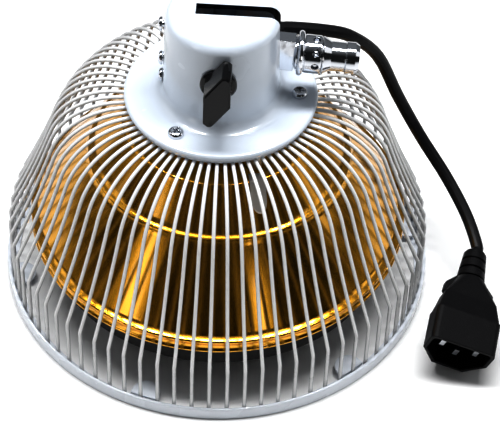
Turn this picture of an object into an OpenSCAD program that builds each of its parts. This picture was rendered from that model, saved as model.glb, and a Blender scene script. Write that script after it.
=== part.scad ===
// Hand-sized mineral heat lamp head. It rests face down on its rim.
// Origin: centre of the rim's bottom plane. +Z is up through the cap, the clamp knob faces -Y,
// and the arm fitting points towards +X. Azimuths are counted from -Y towards +X.

/* [Rim and wire guard] */
// Outer diameter of the rim
rim_d = 174.6; // [172:0.2:176]
// Height of the rim's band
rim_h = 5.5; // [5:0.1:6.5]
// Wall of the rim's band
rim_t = 1.45; // [1.2:0.05:1.6]
// Number of guard wires
wire_count = 78; // [60:1:80]
// Diameter of one guard wire
wire_d = 1.6; // [1.2:0.1:1.8]
// Bend radius of a wire at the guard's shoulder
shoulder_r = 28.5; // [26:0.5:30]
// Angle a wire turns down through at the shoulder
shoulder_turn = 71; // [69:1:72]
// Large radius of the wire's outward flare
flare_r = 460; // [440:10:480]
// Angle the flare opens outwards by
flare_turn = 6; // [5:1:7]
// Radius of the inner end of each wire
wire_in_r = 34; // [34:0.5:36]
// Number of rounded tabs inside the rim
tab_count = 6; // [3:1:6]

/* [Cap and flange] */
// Outer diameter of the cap at its foot
cap_d = 45.2; // [44:0.2:46]
// Height of the cap's top above the floor
cap_top_z = 134.8; // [134:0.1:136]
// Diameter of the flange
flange_d = 75.4; // [75:0.2:78]
// Height of the flange's underside
flange_z = 91.5; // [91:0.1:92]
// Thickness of the flange
flange_t = 3.1; // [2.8:0.1:3.6]
// Radius of the circle of flange screws
screw_circle_r = 30.5; // [30:0.5:31]
// Width of the slot the arm swings in
slot_w = 6; // [6:0.1:6.6]

/* [Tilting arm] */
// Height of the tilt pivot
pivot_z = 117.5; // [116.5:0.5:118]
// Droop of the arm below level, at rest
arm_droop = 3.5; // [0:0.5:4]
// Thickness of the arm's tongue
tongue_t = 5.4; // [5:0.1:5.4]
// Height of the arm's tongue
tongue_h = 14.5; // [13:0.5:15]
// Diameter of the clamp bolt
bolt_d = 4; // [4:0.1:4.4]
// Inner diameter of the arm socket
socket_d = 8; // [7:0.5:8]
// Depth of the arm socket
socket_depth = 12.6; // [10:0.2:12.6]

/* [Knob] */
// Diameter of the knob's round base
knob_d = 13.9; // [13:0.1:15]
// Height of the knob's slanted wing
wing_l = 24.8; // [20:0.2:25]
// Width of the knob's wing
wing_w = 10; // [8:0.1:10.4]
// Drop of the wing's slanted ends
wing_slant = 9.9; // [4:0.1:10]

/* [Reflector and heater] */
// Outer radius of the reflector at its lower edge
dome_r = 76.2; // [75:0.1:77]
// Height of the reflector's lower edge
dome_low_z = 26.8; // [25:0.2:28]
// Height of the rounded ridge above the reflector's lower edge
dome_ridge_z = 32.2; // [31:0.2:33]
// Height of the reflector's flat top
dome_top_z = 80.7; // [80:0.1:81]
// Thickness of the reflector sheet
dome_t = 0.8; // [0.6:0.1:1]
// Radius of the mineral plate
plate_r = 69.6; // [66:0.2:70]
// Height of the mineral plate's working face
plate_z = 12; // [10:0.5:13]

/* [Cord and plug] */
// Diameter of the supply cord
cord_d = 5; // [4.6:0.2:5]
// Width of the plug
plug_w = 27; // [26.8:0.2:28.4]
// Height of the plug
plug_h = 20; // [19.6:0.2:21]

/* [Hidden] */

$fn = 64;
// Gap between parts that touch or are screwed together
gap = 0.05;
// Extra length that lets a cutting tool pass right through
eps = 0.5;

rim_r = rim_d / 2;
foot_r = rim_r - rim_t - wire_d / 2 - gap;
lip_t = 0.8;
lip_w = 3;
wire_top_z = flange_z - 0.8 - wire_d / 2;
wire_first_az = 1.44;
ring_in_r = 26.5;
ring_out_r = 36.8;
tab_first_az = -16.5;

cap_r = cap_d / 2;
cap_top_r = cap_r - 0.7;
cap_edge_r = 4.4;
cap_wall = 2.2;
cap_in_r = cap_r - 2.8;
cap_fillet_r = 5;
flange_r = flange_d / 2;
flange_top_z = flange_z + flange_t;
screw_first_az = -30.5;
spacer_first_az = screw_first_az + 60;
// Flat round seats cut into the cap for the knob and for the bolt's head
seat_r = 7.3;
seat_y = cap_r - 1.4;
slot_left_x = -9.7;
slot_low_z = pivot_z - 9.2;
side_screw_z = [100.6, 109.4, 126.5];
side_head_r = 2.7;
side_seat_r = side_head_r + 0.2;
gland_az = 127.5;
gland_z = 112;
gland_hole_r = 4.6;

washer_t = 0.6;
cheek_y = tongue_t / 2 + gap * 2 + washer_t;
cheek_t = 1.5;
cheek_r = 8;
web_x = -19.2;
bolt_r = bolt_d / 2;
// Radius of every bore that turns on the clamp bolt
bolt_bore_r = bolt_r + 0.06;

// Stations along the arm, measured from the tilt pivot
tongue_end = 27.6;
stub_end = 33;
stub_r = 4.5;
bead_x = 29.9;
bead_half = 1.25;
bead_r = 8.65;
sleeve_r = 7.4;
housing_end = 38;
journal_r = 4.95;
journal_start = 33.3;
ball_r = 1.4;
ball_x = 35.5;
ball_ring_r = 5.4;
ball_count = 8;
barrel_r = 5.7;
cone_end = 41.4;
collar_start = 46.8;
collar_end = 50.5;
collar_r = 6.1;
spindle_end = 52.1;
socket_r = socket_d / 2;

knob_washer_t = 0.6;
knob_back_y = seat_y + knob_washer_t + gap * 2;
knob_base_h = 1.7;
wing_depth = 9.5;
insert_r = 2.5;
insert_depth = 5.5;

plateau_r = 38.5;
step_r = 52;
step_z = 64.4;
dome_hole_r = 4.5;
dome_hole_y = 6;
stud_circle_r = 24;
stud_r = 2;
plate_t = 5;
plate_top_z = plate_z + plate_t;
element_r = 40;
element_tube_r = 3.25;
element_z = plate_top_z + 1 + element_tube_r;
element_arc = 320;
insulation_z = 26;
insulation_t = 5;
backing_z = insulation_z + insulation_t + gap;
backing_t = 1;
pin_top_z = 50;
block_z = dome_top_z + gap;
block_h = 11.5;
cutout_pos = [8.5, 14.7];

plug_len = 48.9;
plug_shell = 15;
plug_neck = 35.4;
plug_heading = -9.7;
plug_pitch = 11;
plug_roll = 17;
plug_mouth = [98.1, -57.9, 11.4];

/* Shared shapes */

function polar(r, a) = [r * cos(a), r * sin(a)];
function arc(c, r, a0, a1, n = 12) = [for (i = [0:n]) c + polar(r, a0 + (a1 - a0) * i / n)];
function unit(v) = v / norm(v);

// A point on the path through control points p, at segment i and fraction t
function spline_point(p, i, t) =
  let (a = p[max(i - 1, 0)], b = p[i], c = p[i + 1], d = p[min(i + 2, len(p) - 1)])
  0.5 * (2 * b + (c - a) * t + (2 * a - 5 * b + 4 * c - d) * t * t
         + (3 * b - a - 3 * c + d) * t * t * t);
function spline(p, steps) = concat(
  [for (i = [0:len(p) - 2], s = [0:steps - 1]) spline_point(p, i, s / steps)],
  [p[len(p) - 1]]);

// Directions of a path, and side vectors carried along it without twist
function tangents(p) = [for (i = [0:len(p) - 1])
  unit(p[min(i + 1, len(p) - 1)] - p[max(i - 1, 0)])];
function square_to(v, t) = unit(v - (v * t) * t);
function sides(t, i = 0, s = undef, out = []) =
  i == len(t) ? out :
  let (n = square_to(s == undef ? [0.1, 0.2, 1] : s, t[i])) sides(t, i + 1, n, concat(out, [n]));

// Round cable of diameter d along the path p
module cable(p, d, n = 12) {
  t = tangents(p);
  s = sides(t);
  m = len(p);
  rings = [for (i = [0:m - 1], k = [0:n - 1])
    let (a = 360 * k / n) p[i] + d / 2 * (cos(a) * s[i] + sin(a) * cross(t[i], s[i]))];
  walls = [for (i = [0:m - 2], k = [0:n - 1])
    let (a = i * n + k, b = i * n + (k + 1) % n) [a, a + n, b + n, b]];
  first_end = [for (k = [0:n - 1]) k];
  last_end = [for (k = [n - 1:-1:0]) (m - 1) * n + k];
  polyhedron(rings, concat(walls, [first_end, last_end]), convexity = 4);
}

// Puts a child that is built along +X at an azimuth, r away from the axis
module at_azimuth(az, r = 0, z = 0) rotate([0, 0, az - 90]) translate([r, 0, z]) children();
module three_around(first, r, z = 0) for (i = [0:2]) at_azimuth(first + i * 120, r, z) children();

module tube(r_out, r_in, h) difference() {
  cylinder(r = r_out, h = h);
  translate([0, 0, -eps]) cylinder(r = r_in, h = h + 2 * eps);
}
module nut(across_corners, bore_r, h) difference() {
  cylinder(d = across_corners, h = h, $fn = 6);
  translate([0, 0, -eps]) cylinder(r = bore_r, h = h + 2 * eps);
}

// Pan-head screw with a cross recess. The head sits on z = 0 and the shank hangs below.
module pan_screw(head_r, head_h, shank_r, shank_l) {
  recess_w = head_r * 0.28;
  recess_l = head_r * 1.25;
  difference() {
    union() {
      rotate_extrude() polygon(concat([[0, 0]],
        arc([head_r - head_h * 0.7, head_h * 0.3], head_h * 0.7, 0, 75, 5), [[0, head_h]]));
      cylinder(r = head_r, h = head_h * 0.3);
      translate([0, 0, -shank_l]) cylinder(r = shank_r, h = shank_l + 0.1);
    }
    for (a = [0, 90]) rotate([0, 0, a])
      translate([-recess_l / 2, -recess_w / 2, head_h * 0.45]) cube([recess_l, recess_w, head_h]);
  }
}

// Places a child at the tilt pivot with +X along the arm
module on_arm() translate([0, 0, pivot_z]) rotate([0, arm_droop, 0]) children();
// Turns a profile drawn as [radius, station] about the arm
module turned() rotate([0, 90, 0]) rotate_extrude() children();
// Places a child on the clamp bolt's axis with +Z pointing out of the front
module on_bolt() translate([0, 0, pivot_z]) rotate([90, 0, 0]) children();

/* Rim and wire guard */

module rim_ring() color("white") rotate_extrude($fn = 180) {
  translate([rim_r - rim_t, 0]) square([rim_t, rim_h - rim_t / 2]);
  translate([rim_r - rim_t / 2, rim_h - rim_t / 2]) circle(d = rim_t, $fn = 32);
  translate([rim_r - rim_t - lip_w, 0]) square([lip_w + rim_t / 2, lip_t]);
}

module rim_tabs() color("white") {
  tab_w = 11;
  tab_l = 8;
  tab_t = 1.2;
  tab_end_r = foot_r - wire_d / 2 - gap;
  for (i = [0:tab_count - 1]) at_azimuth(tab_first_az + i * 360 / tab_count, 0, 2.4)
    intersection() {
      linear_extrude(tab_t) {
        translate([tab_end_r - tab_l + tab_w / 2, -tab_w / 2]) square([tab_w, tab_w]);
        translate([tab_end_r - tab_l + tab_w / 2, 0]) circle(d = tab_w);
      }
      cylinder(r = tab_end_r, h = tab_t, $fn = 180);
    }
}

// One curved length of guard wire in the drawing plane, from angle a0 to angle a1 about c
module wire_bend(c, r, a0, a1, d) translate([c[0], c[1], 0]) rotate([0, 0, a0])
  rotate_extrude(angle = a1 - a0, $fn = 180) translate([r, 0]) circle(d = d, $fn = 24);

// One guard wire, standing in the XZ plane: flat run, shoulder, long flare, kink and upright leg.
// Every second length is a hair thinner and reaches into its neighbours.
module guard_wire() {
  thin_d = wire_d - 0.06;
  lap = 0.3;
  flare_end = shoulder_turn - flare_turn;
  shoulder_x = foot_r - shoulder_r * sin(shoulder_turn)
    - flare_r * (sin(shoulder_turn) - sin(flare_end));
  shoulder_c = [shoulder_x, wire_top_z - shoulder_r];
  flare_c = shoulder_c + polar(shoulder_r + flare_r, 90 - shoulder_turn);
  knee = flare_c + polar(flare_r, 270 - flare_end);
  leg_low = lip_t + gap;
  rotate([90, 0, 0]) union() {
    translate([wire_in_r, wire_top_z, 0]) rotate([0, 90, 0])
      cylinder(d = thin_d, h = shoulder_x + lap - wire_in_r, $fn = 24);
    wire_bend(shoulder_c, shoulder_r, 90 - shoulder_turn, 90, wire_d);
    wire_bend(flare_c, flare_r, 270 - shoulder_turn - lap / flare_r * 180 / PI, 270 - flare_end, thin_d);
    translate([knee[0], knee[1], 0]) sphere(d = wire_d, $fn = 24);
    translate([knee[0], leg_low, 0]) rotate([-90, 0, 0])
      cylinder(d = thin_d, h = knee[1] - leg_low, $fn = 24);
  }
}

module cage_wires() color("white")
  for (i = [0:wire_count - 1]) at_azimuth(wire_first_az + i * 360 / wire_count) guard_wire();

module cage_top_ring() color("white") difference() {
  translate([0, 0, flange_z - 0.8 + gap]) tube(ring_out_r, ring_in_r, 0.8 - 2 * gap);
  for (i = [0:5]) at_azimuth(screw_first_az + i * 60, screw_circle_r, flange_z - 2)
    cylinder(r = 1.65, h = 3);
}

/* Cap */

module cap_shell() rotate_extrude($fn = 128) polygon(concat(
  [[cap_in_r, flange_z]],
  arc([flange_r - flange_t / 2, flange_z + flange_t / 2], flange_t / 2, -90, 90),
  arc([cap_r + cap_fillet_r, flange_top_z + cap_fillet_r], cap_fillet_r, 270, 180),
  arc([cap_top_r - cap_edge_r, cap_top_z - cap_edge_r], cap_edge_r, 0, 90, 16),
  [[0, cap_top_z], [0, cap_top_z - cap_wall]],
  arc([cap_in_r - 4, cap_top_z - cap_wall - 4], 4, 90, 0)));

module cap_housing() color("white") difference() {
  union() {
    cap_shell();
    at_azimuth(gland_az, cap_r - 2, gland_z) rotate([0, 90, 0]) cylinder(r = 6.4, h = 2.6);
  }
  translate([slot_left_x, -slot_w / 2, slot_low_z]) cube([50, slot_w, 50]);
  on_bolt() translate([0, 0, -30]) cylinder(r = bolt_r + 0.1, h = 60);
  for (s = [1, -1]) translate([0, 0, pivot_z]) rotate([90 * s, 0, 0])
    translate([0, 0, seat_y]) cylinder(r = seat_r, h = 5);
  three_around(screw_first_az, screw_circle_r, flange_z - 1) cylinder(r = 1.6, h = flange_t + 4);
  three_around(spacer_first_az, screw_circle_r, flange_z - 1) cylinder(r = 1.55, h = flange_t);
  for (z = side_screw_z) at_azimuth(-90, cap_in_r - 3, z) rotate([0, 90, 0]) cylinder(r = 1.35, h = 8);
  // Flat seats under the side screws' heads, clear of the fillet at the cap's foot
  for (z = side_screw_z) at_azimuth(-90, cap_r, z) rotate([0, 90, 0]) cylinder(r = side_seat_r, h = 6);
  at_azimuth(gland_az, cap_in_r - 3, gland_z) rotate([0, 90, 0]) cylinder(r = gland_hole_r, h = 9);
}

module flange_screws() color("silver")
  three_around(screw_first_az, screw_circle_r, flange_top_z + gap) pan_screw(3.05, 2, 1.5, 8.5);

module flange_nuts() color("silver")
  three_around(screw_first_az, screw_circle_r, flange_z - 3.25) nut(6.3, 1.53, 2.4);

module side_screws() color("silver")
  for (z = side_screw_z) at_azimuth(-90, cap_r + gap, z) rotate([0, 90, 0])
    pan_screw(side_head_r, 1.5, 1.25, 5.6);

/* Tilt clamp inside the cap */

module pivot_bracket() color("lightgray") difference() {
  web_z = 98.2;
  web_h = 30.8;
  union() {
    translate([web_x, -4, web_z]) cube([cheek_t, 8, web_h]);
    for (s = [0, 1]) mirror([0, s, 0]) {
      translate([web_x + 0.8, cheek_y, pivot_z - cheek_r]) cube([-web_x - 0.8, cheek_t, 2 * cheek_r]);
      translate([0, cheek_y + cheek_t, pivot_z]) rotate([90, 0, 0]) cylinder(r = cheek_r, h = cheek_t);
    }
  }
  on_bolt() translate([0, 0, -10]) cylinder(r = bolt_r + 0.1, h = 20);
  for (z = side_screw_z) translate([web_x - 1, 0, z]) rotate([0, 90, 0]) cylinder(r = 1.28, h = 4);
}

module clamp_bolt() color("silver") on_bolt() {
  head_h = 2.4;
  front = knob_back_y + insert_depth - 0.8;
  translate([0, 0, -seat_y - gap]) cylinder(r = bolt_r, h = seat_y + gap + front);
  translate([0, 0, -seat_y - gap - head_h]) cylinder(r1 = 3.4, r2 = 5, h = head_h / 2);
  translate([0, 0, -seat_y - gap - head_h / 2]) cylinder(r = 5, h = head_h / 2);
}

module clamp_spacers() color("gray") for (s = [0, 1]) mirror([0, s, 0]) on_bolt()
  translate([0, 0, cheek_y + cheek_t + gap]) tube(4.4, bolt_r + 0.1, 19.2 - cheek_y - cheek_t - gap);

module friction_washers() color("tan") for (s = [0, 1]) mirror([0, s, 0]) on_bolt()
  translate([0, 0, tongue_t / 2 + gap]) tube(7, bolt_bore_r, washer_t);

/* Reflector */

// Outline of the reflector's sheet, inset from its outside, from its axis down to its lower lip
function dome_outline(inset) = concat(
  [[0, dome_top_z - inset], [plateau_r - 0.6 - inset * 0.3, dome_top_z - inset],
   [plateau_r - inset * 0.3, dome_top_z - 0.3 - inset]],
  [[step_r - 2.1 - inset * 0.6, step_z + 1.2 - inset * 0.8],
   [step_r - 0.3 - inset * 0.6, step_z + 0.4 - inset * 0.9],
   [step_r + 0.3 - inset * 0.8, step_z - 0.1 - inset * 0.6],
   [step_r + 0.7 - inset, step_z - 1.2 - inset * 0.3]],
  [for (i = [1:9]) let (t = i / 10)
    [step_r + 0.7 - inset + (dome_r - step_r - 3.4) * t + 0.6 * sin(180 * t),
     step_z - 1.2 - inset * 0.3 * (1 - t) - (step_z - dome_ridge_z - 2.9) * t]]);

function reversed(p) = [for (i = [len(p) - 1:-1:0]) p[i]];

module reflector_dome() color("goldenrod") difference() {
  ridge = 0.9;
  bead = 0.7;
  lip_in = dome_r - 1.7;
  rotate_extrude($fn = 180) polygon(concat(
    dome_outline(0),
    [[dome_r - 2.3, dome_ridge_z + 1.4]],
    arc([dome_r - ridge, dome_ridge_z], ridge, 70, -40, 8),
    [[lip_in + dome_t, dome_ridge_z - 1.6], [lip_in + dome_t, dome_low_z + 1.7]],
    arc([dome_r - bead, dome_low_z + bead], bead, 55, -200, 10),
    [[lip_in, dome_low_z + 1.6], [lip_in, dome_ridge_z - 0.6], [lip_in - 1, dome_ridge_z + 0.5]],
    reversed(dome_outline(dome_t))));
  translate([0, dome_hole_y, dome_top_z - 3]) cylinder(r = dome_hole_r, h = 5);
  three_around(spacer_first_az, screw_circle_r, dome_top_z - 3) cylinder(r = 1.65, h = 5);
  three_around(screw_first_az, stud_circle_r, dome_top_z - 3) cylinder(r = stud_r + 0.15, h = 5);
}

// Thin strap bent over the edge of the reflector's flat top, with a rounded lower end
module reflector_clip() color("silver") {
  clip_t = 0.6;
  clip_w = 6.2;
  clip_l = 8.3;
  clip_tail = 3.4;
  clip_lean = -14;
  top = dome_top_z + gap;
  slope = unit([step_r - plateau_r, step_z - dome_top_z]);
  up = [-slope[1], slope[0]];
  corner = [plateau_r, top];
  low = corner + 14 * slope + gap * up;
  at_azimuth(25) intersection() {
    rotate([90, 0, 0]) linear_extrude(16, center = true)
      polygon([[34, top], corner, low, low + clip_t * up, corner + [clip_t * 0.35, clip_t],
               [34, top + clip_t]]);
    translate([plateau_r, 0, 0]) rotate([0, 0, clip_lean]) linear_extrude(100) {
      translate([-clip_tail, -clip_w / 2]) square([clip_tail + clip_l - clip_w / 2, clip_w]);
      translate([clip_l - clip_w / 2, 0]) circle(d = clip_w);
    }
  }
}

module dome_spacers() color("silver")
  three_around(spacer_first_az, screw_circle_r, dome_top_z + gap)
    tube(2.6, 1.65, flange_z - 0.8 - dome_top_z - gap);

module dome_screws() color("silver")
  three_around(spacer_first_az, screw_circle_r, dome_top_z - dome_t - gap)
    rotate([180, 0, 0]) pan_screw(2.75, 2, 1.5, 13);

/* Heater */

module stud_holes(z, h) three_around(screw_first_az, stud_circle_r, z) cylinder(r = stud_r + 0.1, h = h);
// Repeats a child at the element's two cold pins
module at_pins() for (s = [1, -1]) rotate([0, 0, 90 + s * (180 - element_arc / 2 + 2)])
  translate([element_r, 0, 0]) children();

module mineral_plate() color([0.1, 0.1, 0.1]) difference() {
  rotate_extrude($fn = 180) polygon(concat(
    [[0, plate_z]],
    arc([plate_r - 2, plate_z + 2], 2, -90, 0, 6),
    [[plate_r, plate_top_z + 4.5], [plate_r - 1.5, plate_top_z + 4.5], [plate_r - 2.5, plate_top_z],
     [0, plate_top_z]]));
  three_around(screw_first_az, stud_circle_r, plate_top_z - 2) cylinder(r = stud_r + gap, h = 5);
}

module element_ring(r) rotate_extrude($fn = 128) translate([element_r, 0]) circle(r = r, $fn = 32);

module heating_element() color("dimgray") {
  translate([0, 0, element_z]) rotate([0, 0, 270 - element_arc / 2])
    rotate_extrude(angle = element_arc, $fn = 128)
      translate([element_r, 0]) circle(r = element_tube_r, $fn = 32);
  at_pins() translate([0, 0, element_z]) cylinder(r = 2.4, h = pin_top_z - element_z);
}

module element_saddles() color("silver") for (a = [-150, -90, -30]) rotate([0, 0, a]) difference() {
  translate([element_r - 6.5, -3, plate_top_z + gap]) cube([13, 6, 8]);
  translate([0, 0, element_z]) element_ring(element_tube_r + gap);
}

module insulation_disc() color("ivory") difference() {
  translate([0, 0, insulation_z]) cylinder(r = plate_r - 6, h = insulation_t, $fn = 128);
  stud_holes(insulation_z - 1, insulation_t + 2);
  at_pins() translate([0, 0, insulation_z - 1]) cylinder(r = 2.8, h = insulation_t + 2);
}

module backing_plate() color("lightgray") difference() {
  translate([0, 0, backing_z]) cylinder(r = plate_r - 4, h = backing_t, $fn = 128);
  stud_holes(backing_z - 1, backing_t + 2);
  at_pins() translate([0, 0, backing_z - 1]) cylinder(r = 4, h = backing_t + 2);
}

module plate_studs() color("silver")
  three_around(screw_first_az, stud_circle_r, plate_top_z - 2 + gap)
    cylinder(r = stud_r, h = dome_top_z + 7 - plate_top_z);

module plate_nuts() color("silver") {
  nut_h = 3.2;
  for (z = [backing_z + backing_t + gap, dome_top_z - dome_t - nut_h - gap, dome_top_z + 0.7])
    three_around(screw_first_az, stud_circle_r, z) nut(8.1, stud_r + 0.03, nut_h);
}

module stud_washers() color("silver") for (i = [1, 2])
  at_azimuth(screw_first_az + i * 120, stud_circle_r, dome_top_z + gap) tube(4.4, stud_r + 0.1, 0.6);

module earth_tag() color("goldenrod")
  at_azimuth(screw_first_az, stud_circle_r, dome_top_z + gap) difference() {
    union() {
      cylinder(r = 4.4, h = 0.6);
      translate([-1.6, 3, 0]) cube([3.2, 9, 0.6]);
    }
    translate([0, 0, -eps]) cylinder(r = stud_r + 0.1, h = 2);
  }

/* Wiring */

module at_terminals() for (x = [-8, 0, 8], y = [-10, -4]) translate([x, y, 0]) children();

module terminal_block() color("ivory") difference() {
  translate([-13, -13, block_z]) cube([26, 12, block_h]);
  at_terminals() translate([0, 0, block_z + 4]) cylinder(r = 1.8, h = block_h);
}

module terminal_screws() color("goldenrod")
  at_terminals() translate([0, 0, block_z + 4 + gap]) difference() {
    cylinder(r = 1.7, h = 5.5);
    translate([-2, -0.25, 4.7]) cube([4, 0.5, 2]);
  }

module thermal_cutout() color("saddlebrown")
  translate([cutout_pos[0], cutout_pos[1], dome_top_z + gap]) {
    cylinder(r = 6.8, h = 4.5);
    cylinder(r = 5.4, h = 6.5);
    for (s = [-1, 1]) translate([s * 3 - 0.4, -1.6, 6]) cube([0.8, 3.2, 3]);
  }

module element_leads() color("white") for (s = [1, -1]) {
  a = 90 + s * (180 - element_arc / 2 + 2);
  pin = [element_r * cos(a), element_r * sin(a), pin_top_z + 0.2];
  cable(spline([pin, pin + [0, 0, 3], pin + [0, 0, 6], [-s * 5, 25, 67], [-s * 2, dome_hole_y + 1, 77],
                [-s * 2, dome_hole_y, 84], [-s * 3, dome_hole_y, 90], [-s * 4.3, 1.5, 95.2],
                [-s * 4.3, -5, 95.6], [-s * 6.6, -9, 95.6], [-s * 8, -10, 94],
                [-s * 8, -10, block_z + 4 + 6.5]], 4), 2.6, 10);
}

module cord_gland() color([0.15, 0.15, 0.15]) at_azimuth(gland_az, 0, gland_z) rotate([0, 90, 0])
  difference() {
    union() {
      translate([0, 0, cap_in_r - 4]) cylinder(r = gland_hole_r - gap, h = 9);
      translate([0, 0, cap_r + 0.6 + gap]) cylinder(r1 = 6, r2 = 4.6, h = 2.2);
    }
    cylinder(r = cord_d / 2 + gap, h = 40);
  }

module gland_nut() color([0.15, 0.15, 0.15]) at_azimuth(gland_az, 0, gland_z) rotate([0, 90, 0])
  translate([0, 0, cap_in_r - 3.6]) nut(12.4, gland_hole_r, 2);

function on_gland(r) = [r * sin(gland_az), -r * cos(gland_az), gland_z];
// A point on the plug's axis, s behind the mouth
function on_plug(s) = plug_mouth + s * [-sin(plug_heading) * cos(plug_pitch),
  cos(plug_heading) * cos(plug_pitch), sin(plug_pitch)];

module supply_cord() color([0.08, 0.08, 0.08]) cable(spline([
  on_gland(16), on_gland(22), on_gland(26), on_gland(30),
  [40, 21.2, 109], [50, 25.2, 103], [61, 31.8, 88], [71, 35, 64],
  [81.9, 31.9, 45], [93.4, 20.8, 33.5], [102.2, 6.5, 26.2], on_plug(plug_len + 4),
  on_plug(plug_len), on_plug(plug_len - 7), on_plug(plug_neck + 3)], 5), cord_d, 14);

module cord_cores() color("saddlebrown") for (i = [-1:1])
  cable(spline([on_gland(15.8) + [-i * 0.9, i * 1.2, 0.3 - abs(i)],
                on_gland(13.5) + [-i * 0.95, i * 1.2, -abs(i)],
                [5 - 5 * i, 4.5 - i, 104], [-8 * i, -1.5, 98],
                [-8 * i, -4, block_z + 4 + 6.2]], 4), 1.3, 8);

/* Plug */

module on_plug_axis() translate(plug_mouth) rotate([0, 0, plug_heading])
  rotate([plug_pitch, 0, 0]) rotate([0, plug_roll, 0]) children();

// Plug outline shrunk by inset: a flat top, upright sides and two cut lower corners
module plug_outline(inset) {
  w = plug_w / 2 - inset;
  h = plug_h / 2 - inset;
  corner = 2.2 - inset * 0.5;
  low = w - 6.9 + inset * 0.4;
  polygon(concat(
    arc([w - corner, h - corner], corner, 0, 90, 5),
    arc([corner - w, h - corner], corner, 90, 180, 5),
    [[-w, -0.6], [-low, -h], [low, -h], [w, -0.6]]));
}
// Extrudes a plug outline from the mouth backwards between two stations
module plug_slab(from, to, inset) translate([0, to, 0]) rotate([90, 0, 0])
  linear_extrude(to - from) plug_outline(inset);
// The three blades: two outer ones 14 mm apart, and the earth blade below them
module blades(grow, from, to) for (p = [[-7, 3.2], [7, 3.2], [0, -0.8]])
  translate([p[0] - 1 - grow, from, p[1] - 2 - grow]) cube([2 + 2 * grow, to - from, 4 + 2 * grow]);

module plug_body() color([0.08, 0.08, 0.08]) on_plug_axis() difference() {
  wall = 1.4;
  cavity = 17;
  shoulder = 24;
  neck_r = 5.9;
  union() {
    plug_slab(0, plug_shell, 0);
    hull() {
      plug_slab(plug_shell - 0.1, plug_shell, 0.3);
      plug_slab(shoulder - 0.1, shoulder, 2.6);
    }
    hull() {
      plug_slab(shoulder - 0.2, shoulder - 0.1, 2.6);
      translate([0, plug_neck, 0]) rotate([90, 0, 0]) cylinder(r = neck_r, h = 0.5, $fn = 32);
    }
    for (s = [0, 1]) mirror([s, 0, 0]) translate([0, 0, -1.6]) linear_extrude(3.2)
      polygon([[3, plug_neck], [6.4, plug_neck - 0.4], [10.2, 31], [10.4, 27.6], [9.6, 26.6], [3, 26]]);
  }
  plug_slab(-eps, cavity, wall);
  blades(gap, cavity - 2, 25);
  translate([0, plug_neck + 4, 0]) rotate([90, 0, 0]) cylinder(r = 3.4, h = 8);
}

module plug_strain_relief() color([0.08, 0.08, 0.08]) on_plug_axis() rotate([-90, 0, 0]) difference() {
  rib_pitch = 4.35;
  start = plug_neck + gap;
  union() {
    translate([0, 0, start]) cylinder(r1 = 4.9, r2 = 4.1, h = plug_len - start);
    for (i = [0:2]) translate([0, 0, start + 0.6 + i * rib_pitch])
      cylinder(r1 = 5.8 - i * 0.4, r2 = 5.5 - i * 0.4, h = 3.2);
  }
  translate([0, 0, plug_neck - 1]) cylinder(r = cord_d / 2 + gap, h = 40);
}

module plug_pins() color("silver") on_plug_axis() blades(0, 2.2, 24.9);

/* Arm, swivel and socket */

module arm_tongue() color("silver") on_arm() difference() {
  union() {
    rotate([90, 0, 0]) cylinder(r = tongue_h / 2, h = tongue_t, center = true);
    translate([0, -tongue_t / 2, -tongue_h / 2]) cube([tongue_end, tongue_t, tongue_h]);
    turned() polygon([[0, 26], [2.8, 26], [2.8, 27.3], [4.8, 27.3], [6.4, 28.1],
                      [6.4, bead_x - bead_half - gap], [stub_r, bead_x - bead_half - gap],
                      [stub_r, stub_end], [0, stub_end]]);
  }
  rotate([90, 0, 0]) cylinder(r = bolt_bore_r, h = tongue_t + 2, center = true);
}

module swivel_housing() color("silver") on_arm() difference() {
  turned() polygon(concat(
    [[stub_r + gap, bead_x - bead_half]],
    arc([bead_r - bead_half, bead_x], bead_half, -90, 90, 8),
    [[sleeve_r - 0.3, bead_x + bead_half], [sleeve_r, bead_x + bead_half + 0.5]],
    arc([sleeve_r - 0.8, housing_end - 0.8], 0.8, 0, 90, 5),
    [[journal_r + gap, housing_end], [journal_r + gap, stub_end + 0.1], [stub_r + gap, stub_end + 0.1]]));
  for (i = [0:ball_count - 1]) translate([ball_x, 0, 0]) rotate([i * 360 / ball_count, 0, 0])
    cylinder(r = ball_r + gap, h = 12);
}

module swivel_balls() color("silver") on_arm()
  for (i = [0:ball_count - 1]) rotate([i * 360 / ball_count, 0, 0])
    translate([ball_x, 0, ball_ring_r]) sphere(r = ball_r, $fn = 32);

module swivel_spindle() color("silver") on_arm() difference() {
  turned() polygon([
    [0, journal_start], [journal_r, journal_start], [journal_r, housing_end + 0.12],
    [sleeve_r - 0.3, housing_end + 0.12], [sleeve_r - 0.1, housing_end + 0.5], [barrel_r, cone_end],
    [barrel_r, collar_start], [collar_r, collar_start + 0.4], [collar_r, collar_end],
    [collar_r - 0.9, spindle_end], [0, spindle_end]]);
  turned() translate([ball_ring_r, ball_x]) circle(r = ball_r + gap, $fn = 32);
  translate([spindle_end - socket_depth, 0, 0]) rotate([0, 90, 0])
    cylinder(r = socket_r, h = socket_depth + eps);
  translate([collar_start + 2, 0, -8]) cylinder(r = 1.55, h = 6);
}

module socket_screw() color("dimgray") on_arm() translate([collar_start + 2, 0, -collar_r])
  difference() {
    tip_back = 0.25;
    cylinder(r = 1.5, h = collar_r - socket_r - tip_back);
    translate([0, 0, -eps]) cylinder(r = 0.8, h = eps + 1, $fn = 6);
  }

/* Clamp knob */

module knob_washer() color("silver") on_bolt()
  translate([0, 0, seat_y + gap]) tube(6.6, bolt_bore_r, knob_washer_t);

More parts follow.
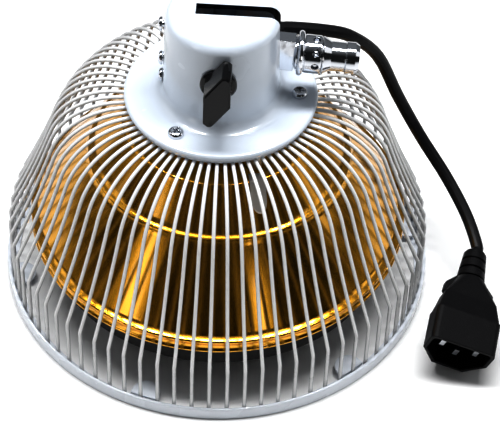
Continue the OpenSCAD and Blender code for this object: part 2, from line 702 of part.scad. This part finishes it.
// Outline of the wing, a bar with two upright sides and steep slanted ends, shrunk by inset
module wing_outline(inset) {
  x = wing_w / 2;
  y = wing_l / 2;
  tip_x = 1.8;
  cut = 1.4;
  offset(r = 1 - inset, $fn = 32) offset(delta = -1)
    polygon([[x, y - cut], [x - cut, y], [tip_x, y], [-x, y - wing_slant],
             [-x, cut - y], [cut - x, -y], [-tip_x, -y], [x, wing_slant - y]]);
}

module clamp_knob() color([0.08, 0.08, 0.08]) on_bolt() difference() {
  face = knob_back_y + knob_base_h;
  union() {
    translate([0, 0, knob_back_y]) cylinder(d = knob_d, h = knob_base_h - 0.6);
    translate([0, 0, face - 0.6]) cylinder(d1 = knob_d, d2 = knob_d - 1.2, h = 0.6);
    translate([0, 0, face - 0.5]) linear_extrude(wing_depth - 0.3) wing_outline(0);
    translate([0, 0, face + wing_depth - 1]) linear_extrude(1) wing_outline(0.6);
  }
  translate([0, 0, knob_back_y - eps]) cylinder(r = insert_r + gap, h = insert_depth + eps);
}

module knob_insert() color("goldenrod") on_bolt()
  translate([0, 0, knob_back_y + 0.1]) tube(insert_r, bolt_bore_r, insert_depth - 0.2);

rim_ring();
rim_tabs();
cage_wires();
cage_top_ring();
cap_housing();
flange_screws();
flange_nuts();
side_screws();
pivot_bracket();
clamp_bolt();
clamp_spacers();
friction_washers();
reflector_dome();
reflector_clip();
dome_spacers();
dome_screws();
mineral_plate();
heating_element();
element_saddles();
insulation_disc();
backing_plate();
plate_studs();
plate_nuts();
stud_washers();
earth_tag();
terminal_block();
terminal_screws();
thermal_cutout();
element_leads();
cord_gland();
gland_nut();
supply_cord();
cord_cores();
plug_body();
plug_strain_relief();
plug_pins();
arm_tongue();
swivel_housing();
swivel_balls();
swivel_spindle();
socket_screw();
knob_washer();
clamp_knob();
knob_insert();
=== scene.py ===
import bpy, math, random
from mathutils import Matrix, Vector


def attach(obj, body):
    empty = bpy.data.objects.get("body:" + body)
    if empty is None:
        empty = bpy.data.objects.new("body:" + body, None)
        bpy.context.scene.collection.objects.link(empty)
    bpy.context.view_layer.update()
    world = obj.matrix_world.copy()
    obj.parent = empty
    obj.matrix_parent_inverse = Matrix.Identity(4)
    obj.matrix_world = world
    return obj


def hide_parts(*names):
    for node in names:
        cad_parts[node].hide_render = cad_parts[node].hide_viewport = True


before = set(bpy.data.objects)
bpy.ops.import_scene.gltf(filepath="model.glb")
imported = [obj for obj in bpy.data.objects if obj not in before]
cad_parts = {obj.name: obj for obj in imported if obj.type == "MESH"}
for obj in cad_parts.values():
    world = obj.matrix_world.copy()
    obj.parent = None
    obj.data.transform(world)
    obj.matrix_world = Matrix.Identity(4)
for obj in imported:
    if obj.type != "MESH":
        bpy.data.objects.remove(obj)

MM = 0.001
random.seed(7)
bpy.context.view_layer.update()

# ------------------------------------------------------------------ mesh code
def mesh_piece(name, verts, faces, mat, body, replaces):
    me = bpy.data.meshes.new(name)
    me.from_pydata(verts, [], faces)
    me.validate()
    me.update()
    me.polygons.foreach_set("use_smooth", [True] * len(me.polygons))
    me.update()
    ob = bpy.data.objects.new(name, me)
    bpy.context.scene.collection.objects.link(ob)
    me.materials.append(mat)
    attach(ob, body)
    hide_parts(*replaces)
    return ob


def revolve(profile, n):
    """Profile of (radius, height) in mm turned about Z."""
    verts, faces, rows = [], [], []
    for r, z in profile:
        if r < 1e-6:
            rows.append([len(verts)])
            verts.append((0, 0, z * MM))
        else:
            rows.append(list(range(len(verts), len(verts) + n)))
            for k in range(n):
                a = 2 * math.pi * k / n
                verts.append((r * math.cos(a) * MM, r * math.sin(a) * MM, z * MM))
    for a, b in zip(rows, rows[1:]):
        for k in range(n):
            q = (k + 1) % n
            if len(a) == 1 and len(b) == 1:
                continue
            if len(a) == 1:
                faces.append((a[0], b[q], b[k]))
            elif len(b) == 1:
                faces.append((a[k], a[q], b[0]))
            else:
                faces.append((a[k], a[q], b[q], b[k]))
    return verts, faces


def sweep(path, radius, sides, up):
    """Round tube with closed ends along a path of Vectors in mm. up is across the path at its start."""
    n = len(path)
    verts, faces = [], []
    tan = []
    for i in range(n):
        t = path[min(i + 1, n - 1)] - path[max(i - 1, 0)]
        tan.append(t.normalized())
    s = (up - up.dot(tan[0]) * tan[0]).normalized()
    for i in range(n):
        s = (s - s.dot(tan[i]) * tan[i]).normalized()
        b = tan[i].cross(s)
        for k in range(sides):
            a = 2 * math.pi * k / sides
            p = path[i] + radius * (math.cos(a) * s + math.sin(a) * b)
            verts.append(tuple(p * MM))
    for i in range(n - 1):
        for k in range(sides):
            q = (k + 1) % sides
            faces.append((i * sides + k, i * sides + q, (i + 1) * sides + q, (i + 1) * sides + k))
    faces.append(tuple(range(sides - 1, -1, -1)))
    faces.append(tuple((n - 1) * sides + k for k in range(sides)))
    return verts, faces


# ------------------------------------------------------------------ materials
# colour of the painted shade along the wire outlines
EDGE_SHADE_COLOR = (0.1, 0.11, 0.13)
# colour of the painted shade inside the cap's slot
SLOT_SHADE_COLOR = (0.004, 0.004, 0.005)


# some finishes also take painted shade: darker wire outlines, and a near-black box inside a slot
def finish_mat(name, color, metallic=0.0, rough=0.4, rough_var=0.08, scale=60.0, bump=0.1, bump_scale=900.0,
               coat=0.0, edge=0.0004, dirt=0.06, dirt_color=(0.12, 0.10, 0.08), spec=0.5, edge_shade=0.0, mottle=0.86,
               bounce=None, slot_shade_box=None):
    m = bpy.data.materials.new(name)
    m.use_nodes = True
    nt = m.node_tree
    N, L = nt.nodes, nt.links
    N.clear()
    out = N.new("ShaderNodeOutputMaterial")
    b = N.new("ShaderNodeBsdfPrincipled")
    L.new(b.outputs[0], out.inputs[0])
    tc = N.new("ShaderNodeTexCoord")
    mp = N.new("ShaderNodeMapping")
    L.new(tc.outputs["Object"], mp.inputs["Vector"])

    def noise(sc, detail=3.0, rgh=0.55):
        n = N.new("ShaderNodeTexNoise")
        n.inputs["Scale"].default_value = sc
        n.inputs["Detail"].default_value = detail
        n.inputs["Roughness"].default_value = rgh
        L.new(mp.outputs[0], n.inputs["Vector"])
        return n

    n1, n2 = noise(scale), noise(bump_scale, 4.0)
    mr = N.new("ShaderNodeMapRange")
    mr.inputs["To Min"].default_value = max(rough - rough_var, 0.01)
    mr.inputs["To Max"].default_value = min(rough + rough_var, 1.0)
    mr.inputs["From Min"].default_value = 0.3
    mr.inputs["From Max"].default_value = 0.7
    L.new(n1.outputs["Fac"], mr.inputs["Value"])
    L.new(mr.outputs[0], b.inputs["Roughness"])
    # slow colour change and dust gathered in the low spots of the noise
    mixa = N.new("ShaderNodeMix")
    mixa.data_type = "RGBA"
    mixa.inputs["A"].default_value = (*color, 1)
    mixa.inputs["B"].default_value = (*[c * mottle for c in color], 1)
    n3 = noise(scale * 0.35, 2.0)
    L.new(n3.outputs["Fac"], mixa.inputs["Factor"])
    ramp = N.new("ShaderNodeMapRange")
    ramp.inputs["From Min"].default_value = 0.58
    ramp.inputs["From Max"].default_value = 0.8
    ramp.inputs["To Min"].default_value = 0.0
    ramp.inputs["To Max"].default_value = dirt
    n4 = noise(scale * 5.0, 5.0, 0.7)
    L.new(n4.outputs["Fac"], ramp.inputs["Value"])
    mixb = N.new("ShaderNodeMix")
    mixb.data_type = "RGBA"
    L.new(ramp.outputs[0], mixb.inputs["Factor"])
    L.new(mixa.outputs["Result"], mixb.inputs["A"])
    mixb.inputs["B"].default_value = (*dirt_color, 1)
    col = mixb.outputs["Result"]
    bev = N.new("ShaderNodeBevel")
    bev.samples = 4
    bev.inputs["Radius"].default_value = edge
    if edge_shade > 0:
        # painted shade: colour darkens toward a dark grey where the surface turns away from the view, drawing dark
        # outlines along each wire
        lw = N.new("ShaderNodeLayerWeight")
        lw.inputs["Blend"].default_value = 0.5
        fr = N.new("ShaderNodeMapRange")
        fr.inputs["From Min"].default_value = 0.35
        fr.inputs["From Max"].default_value = 0.95
        fr.inputs["To Max"].default_value = edge_shade
        L.new(lw.outputs["Facing"], fr.inputs["Value"])
        mixd = N.new("ShaderNodeMix")
        mixd.data_type = "RGBA"
        L.new(fr.outputs[0], mixd.inputs["Factor"])
        L.new(col, mixd.inputs["A"])
        mixd.inputs["B"].default_value = (*EDGE_SHADE_COLOR, 1)
        col = mixd.outputs["Result"]
    if slot_shade_box:
        # painted shade inside the slot: everything within the box (half width, left end, low end, in metres) is
        # painted near-black
        half, left, low = slot_shade_box
        sep = N.new("ShaderNodeSeparateXYZ")
        L.new(tc.outputs["Object"], sep.inputs[0])
        away = N.new("ShaderNodeMath")
        away.operation = "ABSOLUTE"
        L.new(sep.outputs["Y"], away.inputs[0])
        mask = None
        for src, op, limit in ((away.outputs[0], "LESS_THAN", half), (sep.outputs["X"], "GREATER_THAN", left),
                               (sep.outputs["Z"], "GREATER_THAN", low)):
            t = N.new("ShaderNodeMath")
            t.operation = op
            L.new(src, t.inputs[0])
            t.inputs[1].default_value = limit
            if mask is None:
                mask = t.outputs[0]
            else:
                both = N.new("ShaderNodeMath")
                both.operation = "MULTIPLY"
                L.new(mask, both.inputs[0])
                L.new(t.outputs[0], both.inputs[1])
                mask = both.outputs[0]
        mixe = N.new("ShaderNodeMix")
        mixe.data_type = "RGBA"
        L.new(mask, mixe.inputs["Factor"])
        L.new(col, mixe.inputs["A"])
        mixe.inputs["B"].default_value = (*SLOT_SHADE_COLOR, 1)
        col = mixe.outputs["Result"]
    if bounce:
        # colour that neighbouring matt surfaces receive from this one
        lp = N.new("ShaderNodeLightPath")
        mixf = N.new("ShaderNodeMix")
        mixf.data_type = "RGBA"
        L.new(lp.outputs["Is Diffuse Ray"], mixf.inputs["Factor"])
        L.new(col, mixf.inputs["A"])
        mixf.inputs["B"].default_value = (*bounce, 1)
        col = mixf.outputs["Result"]
    L.new(col, b.inputs["Base Color"])
    bp = N.new("ShaderNodeBump")
    bp.inputs["Strength"].default_value = bump
    bp.inputs["Distance"].default_value = 0.0002
    L.new(n2.outputs["Fac"], bp.inputs["Height"])
    if edge > 0:
        L.new(bev.outputs[0], bp.inputs["Normal"])
    L.new(bp.outputs[0], b.inputs["Normal"])
    b.inputs["Metallic"].default_value = metallic
    b.inputs["Specular IOR Level"].default_value = spec
    b.inputs["IOR"].default_value = 1.5
    b.inputs["Coat Weight"].default_value = coat
    b.inputs["Coat Roughness"].default_value = 0.06
    return m


white = finish_mat("white_powder_coat", (0.78, 0.82, 0.88), rough=0.26, coat=0.9, bump=0.12, bump_scale=1400,
                   scale=40, dirt=0.02, mottle=0.97, edge=0.0005)
# the cap's coat gets painted shade: near-black inside the arm's slot
white_cap = finish_mat("white_cap_coat", (0.70, 0.76, 0.84), rough=0.26, coat=0.9, bump=0.12, bump_scale=1400,
                       scale=40, rough_var=0.02, dirt=0.015, mottle=0.98, edge=0, slot_shade_box=(0.00303, -0.0101, 0.1083))
# the wire coat gets painted shade along each wire's outline
white_wire = finish_mat("white_wire_coat", (0.88, 0.88, 0.88), rough=0.30, coat=0.4, edge_shade=0.85, bump=0.15,
                        bump_scale=1600, scale=70, dirt=0.12, edge=0)
chrome = finish_mat("chrome", (0.78, 0.80, 0.84), metallic=1, rough=0.10, rough_var=0.05, bump=0.03, scale=90,
                    dirt=0.05, edge=0.0003)
zinc = finish_mat("zinc_plate", (0.62, 0.63, 0.65), metallic=1, rough=0.34, bump=0.08, scale=120, dirt=0.15,
                  edge=0.0002)
gold = finish_mat("gold_anodised", (0.92, 0.47, 0.045), metallic=1, rough=0.20, coat=0.6, rough_var=0.04, bump=0.05,
                  bump_scale=300, scale=30, dirt=0.04, edge=0, bounce=(0.05, 0.045, 0.045))
strap = finish_mat("strap_aluminium", (0.66, 0.62, 0.57), metallic=0.7, rough=0.38, scale=100, edge=0.0002)
black_gloss = finish_mat("gloss_black", (0.006, 0.006, 0.007), rough=0.15, coat=0.15, spec=0.3, bump=0.05, scale=80,
                         dirt=0.03, edge=0.0004, dirt_color=(0.1, 0.1, 0.1))
black_matte = finish_mat("matte_black", (0.008, 0.008, 0.009), rough=0.45, spec=0.12, bump=0.5, bump_scale=1500,
                         scale=60, dirt=0.08, edge=0.0006, dirt_color=(0.1, 0.1, 0.1))
black_rubber = finish_mat("black_rubber", (0.008, 0.008, 0.009), rough=0.40, spec=0.14, bump=0.25, bump_scale=900,
                          scale=50, dirt=0.12, edge=0, dirt_color=(0.09, 0.09, 0.09))
brass = finish_mat("brass", (0.75, 0.55, 0.22), metallic=1, rough=0.3, scale=120, dirt=0.2, edge=0.0002)
ceramic = finish_mat("ceramic", (0.80, 0.77, 0.70), rough=0.65, bump=0.4, scale=80, dirt=0.15, edge=0.0004)
mineral = finish_mat("mineral_face", (0.035, 0.034, 0.034), rough=0.85, rough_var=0.1, bump=0.9, bump_scale=500,
                     scale=60, dirt=0.3, dirt_color=(0.16, 0.14, 0.12), edge=0.0006)
steel_dark = finish_mat("dark_steel", (0.09, 0.085, 0.08), metallic=1, rough=0.5, scale=90, dirt=0.3, edge=0.0002)
fibre = finish_mat("fibre", (0.35, 0.24, 0.13), rough=0.8, bump=0.6, scale=120, dirt=0.2, edge=0.0002)
phenolic = finish_mat("phenolic", (0.10, 0.035, 0.015), rough=0.25, scale=80, edge=0.0003)
silicone = finish_mat("silicone", (0.80, 0.79, 0.74), rough=0.45, scale=80, dirt=0.2, edge=0)
brown = finish_mat("brown_sleeve", (0.16, 0.06, 0.02), rough=0.45, scale=80, dirt=0.1, edge=0)

CAD = {
    "rim_ring": white, "rim_tabs": white, "cage_wires": white_wire, "cage_top_ring": white, "cap_housing": white_cap,
    "flange_screws": chrome, "side_screws": chrome, "flange_nuts": zinc, "clamp_bolt": zinc,
    "clamp_spacers": zinc, "dome_screws": zinc, "plate_studs": zinc, "plate_nuts": zinc, "stud_washers": zinc,
    "knob_washer": zinc, "pivot_bracket": zinc, "backing_plate": zinc, "element_saddles": zinc,
    "friction_washers": fibre, "reflector_dome": gold, "reflector_clip": strap, "dome_spacers": zinc,
    "mineral_plate": mineral, "heating_element": steel_dark, "insulation_disc": ceramic, "earth_tag": brass,
    "terminal_block": ceramic, "terminal_screws": brass, "thermal_cutout": phenolic, "element_leads": silicone,
    "cord_gland": black_matte, "gland_nut": black_matte, "supply_cord": black_rubber, "cord_cores": brown,
    "plug_body": black_matte, "plug_strain_relief": black_matte, "plug_pins": chrome, "arm_tongue": chrome,
    "swivel_housing": chrome, "swivel_balls": chrome, "swivel_spindle": chrome, "socket_screw": steel_dark,
    "clamp_knob": black_gloss, "knob_insert": brass,
}
for n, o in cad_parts.items():
    o.data.materials.clear()
    o.data.materials.append(CAD[n])

# ------------------------------------------------------------------ guard wires
RIM_R, RIM_T, WIRE_D = 87.3, 1.45, 1.6
WIRES, FIRST_AZ = 78, 1.44
FOOT_R = RIM_R - RIM_T - WIRE_D / 2 - 0.05


def polar(r, a):
    a = math.radians(a)
    return Vector((r * math.cos(a), r * math.sin(a)))


def wire_profile():
    sr, st, fr, ft, top = 28.5, 71.0, 460.0, 6.0, 91.5 - 0.8 - 0.8
    fe = st - ft
    sx = FOOT_R - sr * math.sin(math.radians(st)) - fr * (math.sin(math.radians(st)) - math.sin(math.radians(fe)))
    sc = Vector((sx, top - sr))
    fc = sc + polar(sr + fr, 90 - st)
    pts = [Vector((34.0, top)), Vector((36.0, top)), Vector((sx - 2, top))]
    pts += [sc + polar(sr, 90 - st * i / 16) for i in range(17)]
    pts += [fc + polar(fr, 270 - st + ft * i / 10) for i in range(1, 10)]
    knee = fc + polar(fr, 270 - fe)
    pts += [knee + Vector((-0.35, 0.75)), knee + Vector((-0.06, 0.05)), knee + Vector((0, -0.8))]
    pts += [Vector((FOOT_R, z)) for z in (knee[1] - 2.5, 3.0, 2.0, 1.2, 0.85)]
    return pts


def build_wires():
    V, F = [], []
    prof = wire_profile()
    for w in range(WIRES):
        az = FIRST_AZ + w * 360 / WIRES + random.uniform(-0.10, 0.10)
        a = math.radians(az - 90)
        er, et = Vector((math.cos(a), math.sin(a), 0)), Vector((-math.sin(a), math.cos(a), 0))
        lean = random.uniform(-0.18, 0.18)
        path = []
        for i, p in enumerate(prof):
            t = i / (len(prof) - 1)
            path.append(er * p[0] + et * (lean * math.sin(math.pi * t)) + Vector((0, 0, p[1])))
        v, f = sweep(path, WIRE_D / 2, 10, up=et)
        o = len(V)
        V += v
        F += [tuple(i + o for i in q) for q in f]
    return V, F


v, f = build_wires()
wires = mesh_piece("guard_wires", v, f, white_wire, "head", ["cage_wires"])

# ------------------------------------------------------------------ reflector
def dome_profile():
    T, R0, P, S, SZ, LOW, RIDGE = 80.7, 76.2, 38.5, 52.0, 64.4, 26.8, 32.2
    outer = [(0.0, T)] + [(4.5 * i, T) for i in range(1, 8)]
    outer += [(37.0, T), (38.0, T), (P, T - 0.3), (P + 0.35, T - 0.8)]
    c0, c1 = Vector((P + 0.35, T - 0.8)), Vector((S - 2.1, SZ + 1.2))
    for i in range(1, 10):
        q = c0.lerp(c1, i / 10)
        outer.append((q[0], q[1]))
    outer += [(S - 2.1, SZ + 1.2), (S - 1.7, SZ + 0.95), (S - 1.0, SZ + 0.68), (S - 0.3, SZ + 0.40)]
    outer += [(S + 0.15, SZ + 0.10), (S + 0.45, SZ - 0.4), (S + 0.7, SZ - 1.2)]
    n, r1, z1 = 24, R0 - 2.7, RIDGE + 1.7
    for i in range(1, n + 1):
        t = i / n
        outer.append((S + 0.7 + (r1 - S - 0.7) * t + 0.6 * math.sin(math.pi * t), SZ - 1.2 - (SZ - 1.2 - z1) * t))
    outer += [(R0 - 2.3, RIDGE + 1.45), (R0 - 1.6, RIDGE + 1.2), (R0 - 0.9, RIDGE + 0.9)]
    outer += [(R0 - 0.9 + 0.9 * math.cos(math.radians(q)), RIDGE + 0.9 * math.sin(math.radians(q)))
              for q in range(75, -50, -12)]
    outer += [(R0 - 0.9, RIDGE - 1.6), (R0 - 0.9, LOW + 1.7)]
    bead = [(R0 - 0.7 + 0.7 * math.cos(math.radians(q)), LOW + 0.7 + 0.7 * math.sin(math.radians(q)))
            for q in range(55, -200, -25)]
    inner = [(R0 - 1.7, LOW + 1.6), (R0 - 1.7, RIDGE - 1.0), (R0 - 2.6, RIDGE + 1.0)]
    inner += [(max(r - 0.75, 0), z - (0.8 if r < 40 else 0.35)) for r, z in reversed(outer[:len(outer) - 14])]
    return outer + bead + inner


v, f = revolve(dome_profile(), 256)
dome = mesh_piece("reflector_shell", v, f, gold, "head", ["reflector_dome"])

# ------------------------------------------------------------------ floor, light, camera
def stage_mat(name, color, rough):
    m = bpy.data.materials.new(name)
    m.use_nodes = True
    b = m.node_tree.nodes["Principled BSDF"]
    b.inputs["Base Color"].default_value = (*color, 1)
    b.inputs["Roughness"].default_value = rough
    return m


FLOOR_HALF = 3.0
FLOOR_DROP = 0.0001
CORNERS = [(-1, -1), (1, -1), (1, 1), (-1, 1)]
fl = bpy.data.meshes.new("floor")
fl.from_pydata([(x * FLOOR_HALF, y * FLOOR_HALF, 0) for x, y in CORNERS], [], [(0, 1, 2, 3)])
floor = bpy.data.objects.new("floor", fl)
bpy.context.scene.collection.objects.link(floor)
fl.materials.append(stage_mat("floor", (0.88, 0.88, 0.88), 0.6))
floor.location.z = -FLOOR_DROP

sc = bpy.context.scene
w = bpy.data.worlds.new("studio")
sc.world = w
w.use_nodes = True
wn, wl = w.node_tree.nodes, w.node_tree.links
bg = wn["Background"]
wtc = wn.new("ShaderNodeTexCoord")


def world_lobe(axis, lo, hi, a, b):
    d = wn.new("ShaderNodeVectorMath")
    d.operation = "DOT_PRODUCT"
    d.inputs[1].default_value = Vector(axis).normalized()
    wl.new(wtc.outputs["Generated"], d.inputs[0])
    r = wn.new("ShaderNodeMapRange")
    r.interpolation_type = "SMOOTHSTEP"
    r.inputs["From Min"].default_value, r.inputs["From Max"].default_value = lo, hi
    r.inputs["To Min"].default_value, r.inputs["To Max"].default_value = a, b
    wl.new(d.outputs["Value"], r.inputs["Value"])
    return r


lobe = world_lobe((0, 0.62, 0.78), 0.1, 0.95, 0.02, 0.22)
bg.inputs[0].default_value = (0.90, 0.95, 1.0, 1)
wl.new(lobe.outputs[0], bg.inputs[1])


def area(name, loc, target, size, power, color=(1, 1, 1)):
    li = bpy.data.lights.new(name, "AREA")
    li.shape = "RECTANGLE"
    li.size, li.size_y = size
    li.energy = power
    li.color = color
    ob = bpy.data.objects.new(name, li)
    sc.collection.objects.link(ob)
    ob.location = loc
    ob.rotation_mode = "QUATERNION"
    ob.rotation_quaternion = (Vector(target) - Vector(loc)).to_track_quat("-Z", "Y")
    return ob


area("overhead", (0.0, 0.10, 1.20), (0, 0, 0.05), (1.1, 0.20), 18)
area("softbox_left", (-0.95, 0.10, 0.62), (0, 0, 0.06), (0.5, 0.8), 1.2)
area("softbox_right", (0.95, 0.05, 0.62), (0, 0, 0.06), (0.5, 0.8), 1.2)
area("strip_left", (-0.62, -0.62, 0.28), (0, 0, 0.05), (0.18, 0.30), 0.35, (1.0, 0.97, 0.92))
area("strip_right", (0.42, -0.80, 0.28), (0, 0, 0.05), (0.09, 0.26), 0.18, (1.0, 0.97, 0.92))

yaw, pitch, roll = (math.radians(a) for a in (-1.29, 46.19, -2.31))
fw = Vector((math.sin(yaw) * math.cos(pitch), math.cos(yaw) * math.cos(pitch), -math.sin(pitch)))
rt = Vector((math.cos(yaw), -math.sin(yaw), 0))
dn = fw.cross(rt)
right = rt * math.cos(roll) + dn * math.sin(roll)
down = -rt * math.sin(roll) + dn * math.cos(roll)
cam_data = bpy.data.cameras.new("camera")
cam_data.sensor_width, cam_data.lens = 36, 145.44
cam_data.clip_start, cam_data.clip_end = 0.01, 10
cam = bpy.data.objects.new("camera", cam_data)
sc.collection.objects.link(cam)
M = Matrix((right, -down, -fw)).transposed().to_4x4()
M.translation = Vector((26.1, -575.1, 626.05)) * MM
cam.matrix_world = M
sc.camera = cam
sc.view_settings.view_transform = "Standard"
sc.view_settings.look = "None"
sc.view_settings.exposure = 0.25
sc.view_settings.gamma = 0.70
